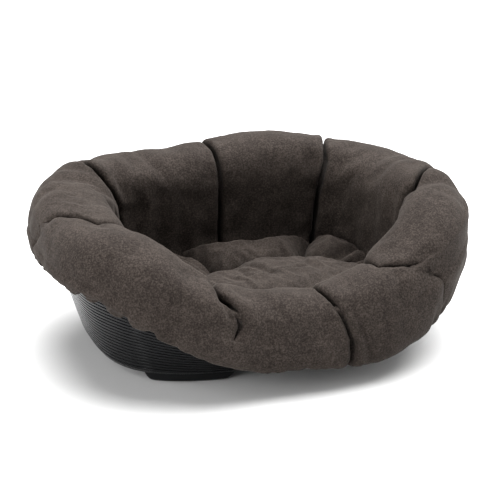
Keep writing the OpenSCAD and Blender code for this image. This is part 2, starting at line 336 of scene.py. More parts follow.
def node_material(name):
    material = bpy.data.materials.new(name)
    material.use_nodes = True
    tree = material.node_tree
    shader = tree.nodes["Principled BSDF"]
    coordinates = tree.nodes.new("ShaderNodeTexCoord")
    return material, tree, shader, coordinates.outputs["Object"]


def add_noise(tree, place_from, scale, detail=3, roughness=0.55, stretch=None):
    if stretch:
        mapping = tree.nodes.new("ShaderNodeMapping")
        mapping.inputs["Scale"].default_value = stretch
        tree.links.new(place_from, mapping.inputs["Vector"])
        place_from = mapping.outputs["Vector"]
    texture = tree.nodes.new("ShaderNodeTexNoise")
    texture.inputs["Scale"].default_value = scale
    texture.inputs["Detail"].default_value = detail
    texture.inputs["Roughness"].default_value = roughness
    tree.links.new(place_from, texture.inputs["Vector"])
    return texture.outputs["Fac"]


def add_math(tree, operation, a, b):
    node = tree.nodes.new("ShaderNodeMath")
    node.operation = operation
    for socket, value in zip(node.inputs, (a, b)):
        if isinstance(value, (int, float)):
            socket.default_value = value
        else:
            tree.links.new(value, socket)
    return node.outputs[0]


def add_weighted(tree, first, *rest):
    """A sum of outputs, each given with its weight."""
    own = add_math(tree, "MULTIPLY", *first)
    return add_math(tree, "ADD", own, add_weighted(tree, *rest)) if rest else own


def add_ramp(tree, fac, stops):
    ramp = tree.nodes.new("ShaderNodeValToRGB")
    elements = ramp.color_ramp.elements
    while len(elements) < len(stops):
        elements.new(0.5)
    for element, (position, colour) in zip(elements, stops):
        element.position = position
        element.color = (*colour, 1)
    tree.links.new(fac, ramp.inputs["Fac"])
    return ramp.outputs["Color"]


def add_bump(tree, shader, height, distance, strength=1.0):
    bump = tree.nodes.new("ShaderNodeBump")
    bump.inputs["Distance"].default_value = distance
    bump.inputs["Strength"].default_value = strength
    tree.links.new(height, bump.inputs["Height"])
    tree.links.new(bump.outputs["Normal"], shader.inputs["Normal"])


def plush_material():
    """Short brushed pile: patches where the nap lies one way or the other, and fine fibres."""
    material, tree, shader, place_from = node_material("plush")
    patches = add_noise(tree, place_from, 18, detail=4, roughness=0.6)
    strokes = add_noise(tree, place_from, 110, detail=4, roughness=0.7, stretch=(1, 1, 0.6))
    fibres = add_noise(tree, place_from, 420, detail=3, roughness=0.7)
    shade = add_weighted(tree, (patches, 0.16), (strokes, 0.20), (fibres, 0.64))
    colour = add_ramp(tree, shade, [(0.38, (0.0105, 0.0078, 0.0063)), (0.5, (0.0243, 0.0188, 0.0157)),
                                    (0.62, (0.050, 0.040, 0.034))])
    tree.links.new(colour, shader.inputs["Base Color"])
    shader.inputs["Roughness"].default_value = 0.95
    shader.inputs["Specular IOR Level"].default_value = 0.15
    shader.inputs["Sheen Weight"].default_value = 0.045
    shader.inputs["Sheen Roughness"].default_value = 0.35
    shader.inputs["Sheen Tint"].default_value = (0.80, 0.72, 0.66, 1)
    height = add_weighted(tree, (strokes, 0.7), (fibres, 0.3))
    add_bump(tree, shader, height, 0.0016, 0.55)
    return material


def plastic_material():
    """Glossy black moulded plastic with a faint grain and slightly uneven gloss."""
    material, tree, shader, place_from = node_material("gloss_plastic")
    cloud = add_noise(tree, place_from, 24, detail=3)
    grain = add_noise(tree, place_from, 900, detail=2)
    colour = add_ramp(tree, cloud, [(0.35, (0.0036, 0.0038, 0.0042)), (0.65, (0.0058, 0.0060, 0.0066))])
    tree.links.new(colour, shader.inputs["Base Color"])
    gloss = tree.nodes.new("ShaderNodeMapRange")
    gloss.inputs["To Min"].default_value = 0.17
    gloss.inputs["To Max"].default_value = 0.27
    tree.links.new(cloud, gloss.inputs["Value"])
    tree.links.new(gloss.outputs["Result"], shader.inputs["Roughness"])
    shader.inputs["IOR"].default_value = 1.5
    shader.inputs["Specular IOR Level"].default_value = 0.20
    add_bump(tree, shader, grain, 0.00006, 0.4)
    return material


def rubber_material():
    """Matt black rubber with a fine pebbled grain."""
    material, tree, shader, place_from = node_material("grip_rubber")
    pebbles = tree.nodes.new("ShaderNodeTexVoronoi")
    pebbles.inputs["Scale"].default_value = 700
    tree.links.new(place_from, pebbles.inputs["Vector"])
    cloud = add_noise(tree, place_from, 60, detail=3)
    colour = add_ramp(tree, cloud, [(0.35, (0.014, 0.014, 0.014)), (0.65, (0.030, 0.029, 0.028))])
    tree.links.new(colour, shader.inputs["Base Color"])
    shader.inputs["Roughness"].default_value = 0.85
    add_bump(tree, shader, pebbles.outputs["Distance"], 0.0004, 0.6)
    return material


def woven_material(name, dark, light, threads, roughness):
    """Plain woven cloth: threads across each other, with uneven dye."""
    material, tree, shader, place_from = node_material(name)
    weave = []
    for direction in ("X", "Y", "Z"):
        wave = tree.nodes.new("ShaderNodeTexWave")
        wave.wave_type = "BANDS"
        wave.bands_direction = direction
        wave.inputs["Scale"].default_value = threads
        wave.inputs["Distortion"].default_value = 1.2
        wave.inputs["Detail"].default_value = 1
        tree.links.new(place_from, wave.inputs["Vector"])
        weave.append(wave.outputs["Fac"])
    threads_height = add_math(tree, "ADD", add_math(tree, "ADD", weave[0], weave[1]), weave[2])
    cloud = add_noise(tree, place_from, 30, detail=4)
    shade = add_weighted(tree, (threads_height, 0.2), (cloud, 0.5))
    tree.links.new(add_ramp(tree, shade, [(0.3, dark), (0.8, light)]), shader.inputs["Base Color"])
    shader.inputs["Roughness"].default_value = roughness
    shader.inputs["Sheen Weight"].default_value = 0.1
    add_bump(tree, shader, threads_height, 0.0003, 0.7)
    return material


def floor_material():
    material, tree, shader, place_from = node_material("floor")
    cloud = add_noise(tree, place_from, 1.5, detail=2)
    colour = add_ramp(tree, cloud, [(0.3, (0.60, 0.60, 0.60)), (0.7, (0.62, 0.62, 0.62))])
    tree.links.new(colour, shader.inputs["Base Color"])
    shader.inputs["Roughness"].default_value = 0.9
    return material


PLUSH = plush_material()
PLASTIC = plastic_material()
RUBBER = rubber_material()
LINING = woven_material("lining_fabric", (0.030, 0.027, 0.025), (0.075, 0.069, 0.064), 260, 0.85)
ELASTIC = woven_material("elastic_webbing", (0.45, 0.44, 0.42), (0.72, 0.71, 0.68), 160, 0.7)

# ---- Tub ----

RIBS = 29                # horizontal ribs up the outside
RIB_H = 0.0022
RIB_LOW, RIB_HIGH = 0.035, 0.955
TUB_STATIONS = 360
FLOOR_IN = 0.004
VENT_D = 0.008
VENT_PITCH = 0.062
VENT_ROWS = [(-0.060, 4), (0.0, 5), (0.060, 4)]
PEG_HOLE_D = 0.008
PEG_D = 0.0078
HOLE_SIDES = 32

FOOT_MID, FOOT_HALF = 52, 17     # plan angles of a foot's middle and half length
FOOT_W = 0.022
FOOT_LINE = -TAPER - 0.003 - FOOT_W / 2
FOOT_Z = 0.001
PEG_ANGLES = (FOOT_MID - FOOT_HALF / 2, FOOT_MID + FOOT_HALF / 2)
CORNERS = {"rear_right": (1, 1), "rear_left": (-1, 1), "front_right": (1, -1), "front_left": (-1, -1)}


def rib_line():
    """The wall's outer outline from the base to the rim: broad faces with narrow rounded grooves."""
    pitch = (RIB_HIGH - RIB_LOW) / RIBS
    face = [(0.05, 0.50), (0.10, 0.92), (0.16, 1.0), (0.40, 0.98), (0.64, 0.94), (0.72, 0.80), (0.77, 0.40),
            (0.82, 0.06), (0.88, 0.0), (0.95, 0.06), (1.0, 0.20)]
    return [(RIB_LOW + pitch * (k + s), RIB_H * h) for k in range(RIBS) for s, h in face]


def tub_floor(outer, holes):
    """Triangles of a flat floor between its outer ring and its holes, as indexes into all the points."""
    points = [Vector(p[:2]) for ring in [outer, *holes] for p in ring]
    edges, start = [], 0
    for ring in [outer, *holes]:
        count = len(ring)
        edges += [(start + i, start + (i + 1) % count) for i in range(count)]
        start += count
    result = delaunay_2d_cdt(points, edges, [], 0, 1e-7)
    centres = [np.mean(h, axis=0)[:2] for h in holes]
    radii = [np.linalg.norm(np.asarray(h)[0, :2] - c) for h, c in zip(holes, centres)]
    faces = []
    for face in result[2]:
        middle = np.mean([result[0][i][:] for i in face], axis=0)
        if all(np.linalg.norm(middle - c) > r * 0.98 for c, r in zip(centres, radii)):
            faces.append([result[3][i][0] for i in face])
    return faces


def circle_at(x, y, z, d, sides=HOLE_SIDES):
    a = np.arange(sides) * 2 * math.pi / sides
    return np.stack([x + d / 2 * np.cos(a), y + d / 2 * np.sin(a), np.full(sides, z)], -1)


def peg_places():
    spots = [place(q, FOOT_LINE, 0.0)[:2] for q in PEG_ANGLES]
    return [(sx * p[0], sy * p[1]) for sx, sy in CORNERS.values() for p in spots]


def make_tub():
    q = np.arange(TUB_STATIONS) * 360 / TUB_STATIONS
    rings = [wall_at(q, 0, -WALL * 1.6), wall_at(q, 0.003, -WALL * 0.7), wall_at(q, 0.012, -0.0002),
             wall_at(q, 0.022, 0.0002)]
    rings += [wall_at(q, t, out) for t, out in rib_line()]
    rings += [wall_at(q, 0.962, 0.0004)]
    lip = [(0.0012, -0.0062), (0.0036, -0.0056), (0.0054, -0.0042), (LIP_OUT, -0.0022), (0.0058, 0.0),
           (0.0044, 0.0018), (0.0022, 0.0028), (0.0, LIP_TOP), (-0.0016, 0.0024), (-WALL, 0.0002)]
    rings += [place(q, o, rim_z(q) + z) for o, z in lip]
    rings += [wall_at(q, t, -WALL) for t in np.linspace(0.975, 0.1, 14)]
    floor_z = BASE_Z + WALL
    edge_t = 0.1
    for k in range(1, 6):
        a = k / 5 * math.pi / 2
        o = mix(-TAPER * (1 - edge_t) - WALL, -TAPER - WALL - FLOOR_IN, 1 - math.cos(a))
        rings.append(place(q, o, mix(mix(BASE_Z, rim_z(q), edge_t), floor_z, math.sin(a))))
    points = np.stack(rings)
    faces = grid_faces(len(rings), TUB_STATIONS, wrap_cols=True)
    count = points.shape[0] * TUB_STATIONS
    spots = [((i - (n - 1) / 2) * VENT_PITCH, y, VENT_D) for y, n in VENT_ROWS for i in range(n)]
    spots += [(x, y, PEG_HOLE_D) for x, y in peg_places()]
    under = [circle_at(x, y, BASE_Z, d) for x, y, d in spots]
    over = [circle_at(x, y, floor_z, d) for x, y, d in spots]
    flat_ring = points[-1].copy()
    all_points = np.concatenate([points.reshape(-1, 3), *under, *over])

    def numbering(ring_start, holes_start):
        total = len(spots) * HOLE_SIDES
        return np.concatenate([ring_start + np.arange(TUB_STATIONS), holes_start + np.arange(total)])

    low = numbering(0, count)
    high = numbering((len(rings) - 1) * TUB_STATIONS, count + len(spots) * HOLE_SIDES)
    faces += [[int(low[i]) for i in reversed(f)] for f in tub_floor(points[0], under)]
    faces += [[int(high[i]) for i in f] for f in tub_floor(flat_ring, over)]
    for k in range(len(spots)):
        a = count + k * HOLE_SIDES
        b = a + len(spots) * HOLE_SIDES
        faces += [[a + i, a + (i + 1) % HOLE_SIDES, b + (i + 1) % HOLE_SIDES, b + i]
                  for i in range(HOLE_SIDES)]
    obj = new_object("tub", all_points, faces, PLASTIC, crease_angle=50)
    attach(obj, "tub")
    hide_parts("tub_shell")


def foot_ring(half_w, half_q, z, side_steps=26, corner_steps=5):
    """A foot's level outline with rounded corners: out along the far edge and back along the near one."""
    corner = 0.006
    metres = np.linalg.norm(place(FOOT_MID + 1, FOOT_LINE, 0.0) - place(FOOT_MID, FOOT_LINE, 0.0))
    short = corner / metres
    a = np.linspace(0, math.pi / 2, corner_steps + 1)
    line = np.linspace(-(half_q - short), half_q - short, side_steps)
    start = [(-(half_q - short) - short * math.sin(t), half_w - corner * (1 - math.cos(t))) for t in a[:0:-1]]
    end = [(half_q - short + short * math.sin(t), half_w - corner * (1 - math.cos(t))) for t in a[1:]]
    out_side = start + [(t, half_w) for t in line] + end
    in_side = [(t, -w) for t, w in reversed(out_side)]
    return np.array([place(FOOT_MID + t, FOOT_LINE + w, z) for t, w in out_side + in_side])


def make_feet():
    slope = 2.2        # plan angle by which the sole is shorter than the top at each end
    top = BASE_Z
    recess_w, recess_q, recess_z = FOOT_W / 2 - 0.0063, 3.7, 0.0029     # the recess for the grip
    levels = [(0.0000, 0.0, top), (0.0000, 0.15, top - 0.0025), (0.0006, 0.7, top - 0.006),
              (0.0012, 1.5, 0.0042), (0.0017, 1.9, 0.0026), (0.0028, slope + 0.15, 0.0014),
              (0.0042, slope + 0.6, FOOT_Z), (recess_w, recess_q, FOOT_Z), (recess_w, recess_q, recess_z)]
    rings = np.stack([foot_ring(FOOT_W / 2 - w, FOOT_HALF - dq, z) for w, dq, z in levels])
    n = rings.shape[1]
    half = n // 2
    for corner, (sx, sy) in CORNERS.items():
        points = [rings.reshape(-1, 3)]
        faces = grid_faces(len(levels), n, wrap_cols=True)
        last = (len(levels) - 1) * n
        cap = [[i, n - 1 - i, n - 2 - i, i + 1] for i in range(half - 1)]
        faces += cap
        faces += [[last + i for i in reversed(f)] for f in cap]
        start = len(levels) * n
        for q in PEG_ANGLES:
            x, y, _ = place(q, FOOT_LINE, 0.0)
            tip = BASE_Z + WALL
            peg = [(PEG_D, BASE_Z - 0.001), (PEG_D, tip - 0.0008), (PEG_D - 0.0006, tip - 0.0002),
                   (PEG_D - 0.002, tip)]
            points += [circle_at(x, y, z, d) for d, z in peg]
            faces += [[start + i for i in f] for f in grid_faces(len(peg), HOLE_SIDES, wrap_cols=True)]
            faces.append([start + i for i in reversed(range(HOLE_SIDES))])
            start += len(peg) * HOLE_SIDES
            faces.append([start - HOLE_SIDES + i for i in range(HOLE_SIDES)])
        points = np.concatenate(points) * np.array([sx, sy, 1])
        if sx * sy < 0:
            faces = [f[::-1] for f in faces]
        obj = new_object("foot_" + corner, points, faces, PLASTIC, crease_angle=35)
        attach(obj, "tub")
        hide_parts("foot_" + corner)
        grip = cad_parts["grip_" + corner]
        grip.data.materials.clear()
        grip.data.materials.append(RUBBER)


# ---- Bolster ----

# Rows of the bolster's closed outline and the stretch of it that each covers
SKIRT, SIDE, ARCH, FACE, SOLE, BACK = range(6)
ROW_COUNTS = {SKIRT: 12, SIDE: 3, ARCH: 28, FACE: 22, SOLE: 3, BACK: 16}
ARCH_DROP = 0.030        # depth below the rim at which the arch begins
ARCH_POWER = 0.84
INSET = 0.007            # how far in the cloth starts, before it swells


def arch_angles(count):
    """Angles over the arch that put its points at even distances."""
    w = np.linspace(0, math.pi, 2000)
    x = (BULGE_OUT + BULGE_IN) / 2 * signed_pow(np.cos(w), ARCH_POWER)
    y = (CROWN + ARCH_DROP) * np.sin(w).clip(0) ** ARCH_POWER
    length = np.concatenate([[0], np.cumsum(np.hypot(np.diff(x), np.diff(y)))])
    return np.interp(np.linspace(0, length[-1], count), length, w)


def round_rim(face):
    """How far in, out and up a sheet with its face at this distance from the tub goes round the rim."""
    return -WALL - TUB_GAP - face, LIP_OUT + TUB_GAP + face, LIP_TOP + TUB_GAP + face


def back_outline(q):
    """The lining's side of the bolster, from under the pad up the wall, over the rim and down."""
    h = rim_z(q)
    inside, out, top = round_rim(LINING_T + FIT_GAP)
    rows = [(inside - TAPER * (1 - t), mix(BASE_Z, h, t)) for t in (0.1, 0.35, 0.6, 0.8)]
    rows += [(inside, h - 0.004), (inside + 0.002, h + top - 0.002), (inside + 0.005, h + top)]
    rows += [(out - 0.003, h + top), (out, h + top - 0.003), (out, h - 0.004)]
    for s in (0.0, 0.3, 0.6, 0.8, 0.93, 1.0):
        outer = mix(hem_o(q) + SKIRT_T, bulge_out(q), skirt_curve(q, s))
        z = mix(h - SKIRT_TOP, hem_z(q) + HEM_H * 0.7, s)
        rows.append((np.maximum(np.minimum(outer - SKIRT_T * 1.05, out), hem_o(q) + 0.0012), z))
    return rows


def bolster_outline(q):
    """Rows of (o, z) round the bolster's closed outline, for plan angles q given row by row."""
    rows = []
    level = [0]

    def here():
        level[0] += 1
        return q[level[0] - 1]

    for s in np.linspace(1, 0, ROW_COUNTS[SKIRT] + 1)[:-1]:
        a = here()
        o = mix(hem_o(a) + SKIRT_T, bulge_out(a) - INSET * 0.6, skirt_curve(a, s))
        rows.append((o, mix(rim_z(a) - SKIRT_TOP, hem_z(a) + HEM_H * 0.7, s)))
    for t in np.linspace(0, 1, ROW_COUNTS[SIDE] + 1)[:-1]:
        a = here()
        rows.append((bulge_out(a) - INSET * mix(0.6, 1, t), rim_z(a) - mix(SKIRT_TOP, ARCH_DROP, t)))
    for w in arch_angles(ROW_COUNTS[ARCH]):
        a = here()
        middle = (bulge_out(a) - bulge_in(a)) / 2
        half = (bulge_out(a) + bulge_in(a)) / 2 - INSET
        rise = (crown_at(a) + ARCH_DROP - INSET) * max(math.sin(w), 0) ** ARCH_POWER
        rows.append((middle + half * signed_pow(math.cos(w), ARCH_POWER), rim_z(a) - ARCH_DROP + rise))
    for t in np.linspace(0, 1, ROW_COUNTS[FACE] + 1)[1:]:
        a = here()
        o = INSET - mix(bulge_in(a), BULGE_IN, smooth(t))
        rows.append((o, mix(rim_z(a) - ARCH_DROP, COVER_Z, t)))
    sole_end = -WALL - TUB_GAP - LINING_T - FIT_GAP - TAPER - FLOOR_IN
    for t in np.linspace(0, 1, ROW_COUNTS[SOLE] + 1)[1:]:
        a = here()
        rows.append((mix(-BULGE_IN + INSET, sole_end, t) + a * 0, COVER_Z + a * 0))
    for k in range(ROW_COUNTS[BACK]):
        a = here()
        rows.append(back_outline(a)[k])
    return tuple(np.array([np.broadcast_to(r[i], q[0].shape) for r in rows]) for i in (0, 1))


ROWS = sum(ROW_COUNTS.values())
FIRST_ARCH = ROW_COUNTS[SKIRT] + ROW_COUNTS[SIDE]
FIRST_FACE = FIRST_ARCH + ROW_COUNTS[ARCH]
FIRST_SOLE = FIRST_FACE + ROW_COUNTS[FACE]


def row_measure():
    """For each row a number that is 0 at the hem, 1 where the arch begins, 2 at the crown, 3 where
    the inner face begins and 4 at its foot."""
    u = np.concatenate([np.linspace(0, 1, FIRST_ARCH, endpoint=False),
                        np.linspace(1, 3, ROW_COUNTS[ARCH], endpoint=False),
                        np.linspace(3, 4, ROW_COUNTS[FACE])])
    return np.concatenate([u, np.full(ROWS - len(u), 4.0)])


U = row_measure()

# Seams round the bolster: for each, its plan angle and then its depth in millimetres, both at points up
# the outline, where 0 is the hem, 1 the outer side, 2 the crown, 3 the top of the inner face and 4 the seat
SEAMS = [
    ([(0, 283), (0.3, 283.6), (0.6, 283.8), (0.9, 283.4), (1.1, 282.4), (1.3, 281), (1.5, 279.3),
      (1.75, 277.6), (2, 276.6), (3, 276)],
     [(0, 3), (0.15, 8), (0.5, 10), (1, 7), (1.5, 6), (2, 8), (3, 10), (4, 8)]),
    ([(0, 317), (0.4, 316), (1, 314), (1.3, 310), (1.45, 307), (1.6, 304), (1.86, 298), (2.2, 298),
      (3, 302)],
     [(0, 0), (0.8, 1), (1.05, 3), (1.2, 8), (1.3, 15), (1.4, 7), (1.6, 3.5), (2, 4), (3, 9), (4, 8)]),
    ([(0, 362), (1, 360), (1.8, 356), (2.3, 345), (3, 346), (3.5, 355), (4, 358)],
     [(0, 2), (1, 6), (1.8, 9), (3, 12), (4, 9)]),
    ([(0, 407), (1, 407), (1.8, 405), (2.5, 403), (3, 406), (3.5, 409), (4, 410)],
     [(0, 2), (1, 5), (1.8, 7), (2.2, 9), (3, 11), (4, 9)]),
    ([(0, 452), (1.5, 451), (2, 450), (3, 449), (3.5, 450), (4, 449)],
     [(0, 2), (1, 5), (2, 9), (3, 11), (4, 9)]),
    ([(0, 500), (1.7, 500), (2.2, 504), (2.5, 505), (2.7, 502), (3, 498), (4, 494)],
     [(0, 2), (1, 5), (2, 10), (3, 12), (4, 9)]),
    ([(0, 530), (1, 534), (1.2, 538), (1.6, 541), (1.8, 547), (2, 555), (2.4, 555), (3, 550), (4, 548)],
     [(0, 1), (1, 4), (1.5, 4), (2, 5), (2.6, 9), (4, 8)]),
    ([(0, 603), (0.95, 603), (1.05, 604.5), (1.2, 606.2), (1.35, 606.4), (1.5, 605), (1.65, 602.5),
      (1.8, 601), (2, 600), (3, 601)],
     [(0, 0), (0.95, 0), (1.1, 5), (1.25, 12), (1.6, 13), (1.8, 9), (3, 9), (4, 8)]),
]

# Loose folds between the seams, placed in the same way: plan angle, how many millimetres the cloth stands
# out there, and the fold's half width in millimetres
FOLDS = [
    ([(0, 288), (1.1, 283.5), (1.4, 281)],
     [(0, 0), (0.3, 2.5), (1.1, 4), (1.5, 0)], 9),
    ([(0, 291), (1.1, 286.5), (1.4, 284)],
     [(0, -1), (0.3, -4), (1.1, -5), (1.6, 0)], 6),
    ([(0, 302), (1.3, 300), (2, 303)],
     [(0, 0), (0.4, -3), (1.4, -4.5), (2, 0)], 7),
    ([(1, 480), (1.9, 478), (2.3, 477), (2.8, 471)],
     [(1.6, 0), (2, -6), (2.3, -6), (2.8, 0)], 8),
    ([(0, 524), (1, 527), (2, 523)],
     [(0.4, 0), (1, -2), (1.7, -3), (2.1, 0)], 13),
    ([(0, 568), (1, 571), (2, 578)],
     [(0.2, 0), (0.6, -2), (1.5, -2.5), (2.1, 0)], 16),
    ([(0, 588), (1, 590), (2, 593)],
     [(0, 0), (0.3, -2), (1.2, -2), (1.7, 0)], 12),
    ([(0, 606), (1, 607.5), (1.3, 610.2), (1.6, 609)],
     [(0.9, 0), (1.1, 3), (1.4, 4), (1.7, 0)], 6),
    ([(0, 608), (0.9, 609), (1.2, 612.5)],
     [(0.6, 0), (0.85, -3), (1.15, -3), (1.3, 0)], 4),
    ([(1, 604), (1.3, 604), (1.7, 601)],
     [(1.1, 0), (1.35, -6), (1.55, -7), (1.75, 0)], 6),
    ([(0, 340), (1, 338), (2, 334)],
     [(0.2, 0), (1, -2.5), (1.8, -2), (2.2, 0)], 14),
]


def seam_q(k):
    turns = 360 if k == len(SEAMS) else 0
    levels, angles = zip(*SEAMS[k % len(SEAMS)][0])
    return np.interp(U, levels, angles) + turns


def seam_depth(k):
    levels, depths = zip(*SEAMS[k % len(SEAMS)][1])
    return np.interp(U, levels, depths) * 0.001


def bolster_ring():
    """The bolster before it swells: for each panel, its grid of points from seam to seam."""
    grids = []
    for k in range(len(SEAMS)):
        q1, q2 = seam_q(k), seam_q(k + 1)
        crown_row = FIRST_ARCH + ROW_COUNTS[ARCH] // 2
        fine = np.linspace(q1[crown_row], q2[crown_row], 60)
        length = np.linalg.norm(np.diff(place(fine, -0.03, 0.0), axis=0), axis=1).sum()
        cols = int(round(length / 0.0068)) + 1
        t = np.linspace(0, 1, cols)[None, :]
        q = q1[:, None] + (q2 - q1)[:, None] * t
        o, z = bolster_outline(q)
        grids.append(place(q, o, z))
    return grids


def swollen(grids):
    """The grids after the cloth is blown up, held at the seams, the hem, the sole and the lining."""
    grids = [bulged(g, k) for k, g in enumerate(grids)]
    ring = np.concatenate([g[:, :-1] for g in grids], axis=1)
    cols = ring.shape[1]
    obj = new_object("bolster_cloth", ring, grid_faces(ROWS, cols, wrap_rows=True, wrap_cols=True))
    held_rows = [0, 1] + list(range(FIRST_SOLE - 3, ROWS))
    held = {r * cols + c for r in held_rows for c in range(cols)}
    starts = np.concatenate([[0], np.cumsum([g.shape[1] - 1 for g in grids])[:-1]])
    held |= {r * cols + int(c) for r in range(ROWS) for c in starts}
    moved = swell(obj, sorted(held), stuffing=0.3, pressure=2, grow=0.010, cap=0.007, bending=60)
    moved = moved.reshape(ROWS, cols, 3)
    moved = np.concatenate([moved, moved[:, :1]], axis=1)
    return [moved[:, a:a + g.shape[1]] for a, g in zip(starts, grids)]


BULGE = 0.008            # how far a panel stands out between its seams before it swells


def bulged(grid, k):
    """A panel crowned by a smooth bulge between its seams, which fades where a seam has no depth."""
    t = np.linspace(0, 1, grid.shape[1])[None, :]
    held_in = [np.clip(seam_depth(seam) / 0.006, 0, 1)[:, None] for seam in (k, k + 1)]
    across = 1 - (1 - np.sin(t * math.pi).clip(0) ** 0.6) * mix(*held_in, smooth(t))
    up = np.ones(ROWS)
    up[:3] = (0, 0.3, 0.7)
    up[FIRST_SOLE - 3:] = 0
    up[FIRST_SOLE - 7:FIRST_SOLE - 3] = (0.8, 0.6, 0.4, 0.2)
    return grid + grid_normals(grid) * (BULGE * across * up[:, None])[..., None] * outward_sign(grid)


def outward_sign(grid):
    """1 if the grid's normals point out of the bolster, and -1 if they point in."""
    highest = np.unravel_index(np.argmax(grid[..., 2]), grid.shape[:2])
    return 1 if grid_normals(grid)[highest][2] > 0 else -1


def graded(width, spacing):
    """Distances across a panel, close together near its two seams."""
    near = np.array([0, 0.0012, 0.0028, 0.0048, 0.0072, 0.0100, 0.0132, 0.0170, 0.0215])
    middle = np.linspace(0.0270, width - 0.0270, max(2, int((width - 0.054) / spacing)))
    return np.concatenate([near, middle, width - near[::-1]])


CREASE_R = 0.0120        # radius to which the plush turns in at a seam
PUCKER = 0.0032          # height of the coarse puckers along a seam
FINE_PUCKER = 0.0014
PUCKER_REACH = 0.016     # how far from a seam its puckers die away
GATHER_DEPTH = 0.014     # how far the elastic pulls the plush in above the hem
GATHER_DROP = 0.006      # and how far it moves the lower edge up and down
LUMPS = [(14, 0, 0.0030), (42, 20, 0.0013)]      # the stuffing's lumps: scale, seed and height


def shape_panel(grid, k):
    """A panel's finished grid: columns close together at the seams, turned-in edges and puckers."""
    crown_row = FIRST_ARCH + ROW_COUNTS[ARCH] // 2
    width = np.linalg.norm(np.diff(grid[crown_row], axis=0), axis=1).sum()
    across = graded(width, 0.0032 if PANELS[k] in ("left", "front_left") else 0.0058)
    points = along(grid, across / width * (grid.shape[1] - 1))
    sign = outward_sign(points)
    normals = grid_normals(points) * sign
    step = np.linalg.norm(np.diff(points, axis=1), axis=-1)
    from_left = np.concatenate([np.zeros((ROWS, 1)), np.cumsum(step, axis=1)], axis=1)
    from_right = from_left[:, -1:] - from_left
    up = np.concatenate([[0], np.cumsum(np.linalg.norm(np.diff(points[:, 0], axis=0), axis=1))])
    shown = np.ones(ROWS)
    shown[FIRST_SOLE:] = 0
    shown[0] = 0
    offset = np.zeros(points.shape[:2])
    for distance, seam in ((from_left, k), (from_right, k + 1)):
        depth = (seam_depth(seam) * shown)[:, None]
        turned = np.clip(1 - distance / CREASE_R, 0, 1)
        offset -= depth * (1 - np.sqrt(1 - turned ** 2))
        n = seam % len(SEAMS)
        beat = np.array([noise.noise((x * 62 + n * 9.1, n * 3.7, 0.5)) for x in up])
        fine_beat = np.array([noise.noise((x * 150 + n * 4.1, n * 5.3, 4.5)) for x in up])
        pucker = (beat * PUCKER + fine_beat * FINE_PUCKER) * np.minimum(depth[:, 0] / 0.008, 1)
        offset += pucker[:, None] * np.exp(-distance / PUCKER_REACH) * np.clip(distance / 0.004, 0, 1)
    q = mix(seam_q(k)[:, None], seam_q(k + 1)[:, None], across / width)
    metres = from_left[:, -1:] / (q[:, -1:] - q[:, :1])
    for angles, rises, width_mm in FOLDS:
        line = np.interp(U, *zip(*angles))[:, None]
        rise = np.interp(U, *zip(*rises))[:, None] * 0.001 * shown[:, None]
        offset += rise * np.exp(-((q - line) * metres / (width_mm * 0.001)) ** 2)
    pull = gathers(q) * shown[:, None]
    offset += pull * np.clip(1 - abs(U - 0.26) / 0.32, 0, 1)[:, None] * GATHER_DEPTH
    points[..., 2] -= pull * np.clip(1 - U / 0.5, 0, 1)[:, None] * GATHER_DROP
    soft = np.minimum(1, np.minimum(from_left, from_right) / 0.02)
    for scale, seed, height in LUMPS:
        offset += noise_at(points, scale, k + seed) * height * soft * shown[:, None]
    return clear_of_lining(points + normals * offset[..., None], q)


PLY = 0.0016             # least thickness of the plush over the lining


def clear_of_lining(points, q):
    """The points, with any that a deep crease takes into the lining at the rim moved out to its surface."""
    n = outward(q)
    o = ((points[..., :2] - rim_xy(q)) * n).sum(-1)
    short_out = LIP_OUT + TUB_GAP + LINING_T + PLY - o
    short_up = rim_z(q) + LIP_TOP + TUB_GAP + LINING_T + PLY - points[..., 2]
    over_rim = ((U > 0.5) & (U < 2.2))[:, None] & (o > -0.02) & (short_out > 0) & (short_up > 0)
    sideways = over_rim & (short_out < short_up)
    moved = points.copy()
    moved[..., :2] += n * np.where(sideways, short_out, 0)[..., None]
    moved[..., 2] += np.where(over_rim & ~sideways, short_up, 0)
    return moved


def close_panel(name, points, k):
    points = twice_the_rows(points)
    rows, cols = points.shape[:2]
    faces = grid_faces(rows, cols, wrap_rows=True)
    ends = [[r * cols for r in range(rows)], [r * cols + cols - 1 for r in reversed(range(rows))]]
    faces += ends
    if outward_sign(points) < 0:
        faces = [f[::-1] for f in faces]
    obj = new_object(name, points, faces, PLUSH, crease_angle=70)
    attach(obj, "cover")
    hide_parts("panel_" + PANELS[k], "fill_" + PANELS[k])


def make_bolster():
    for k, grid in enumerate(swollen(bolster_ring())):
        close_panel("bolster_" + PANELS[k], shape_panel(grid, k), k)


# ---- Seat ----

SEAT_O = -BULGE_IN - 0.0005
TUFTS = [(-0.036, 0.036), (0.100, 0.036)]
PILLOWS = ["back_right", "back", "back_left", "front_left", "front", "front_right"]
SEAT_SEAMS = [(0, 1), (48, 1), (112, 0), (150, 0), (225, 0), (335, 1)]    # plan angle and tuft reached
SEAM_Z = 0.074           # height of the seat's seams, its tufts and its outer edge
TUFT_Z = 0.066
EDGE_Z = 0.078


def seat_edge(q):
    return place(q, SEAT_O, 0.0)[..., :2]


def even_line(points, spacing):
    """Points at an even spacing along a line of points, its ends included."""
    points = np.asarray(points, float)
    length = np.concatenate([[0], np.cumsum(np.linalg.norm(np.diff(points, axis=0), axis=1))])
    count = max(2, int(round(length[-1] / spacing)) + 1)
    s = np.linspace(0, length[-1], count)
    return np.stack([np.interp(s, length, points[:, i]) for i in range(points.shape[1])], -1)


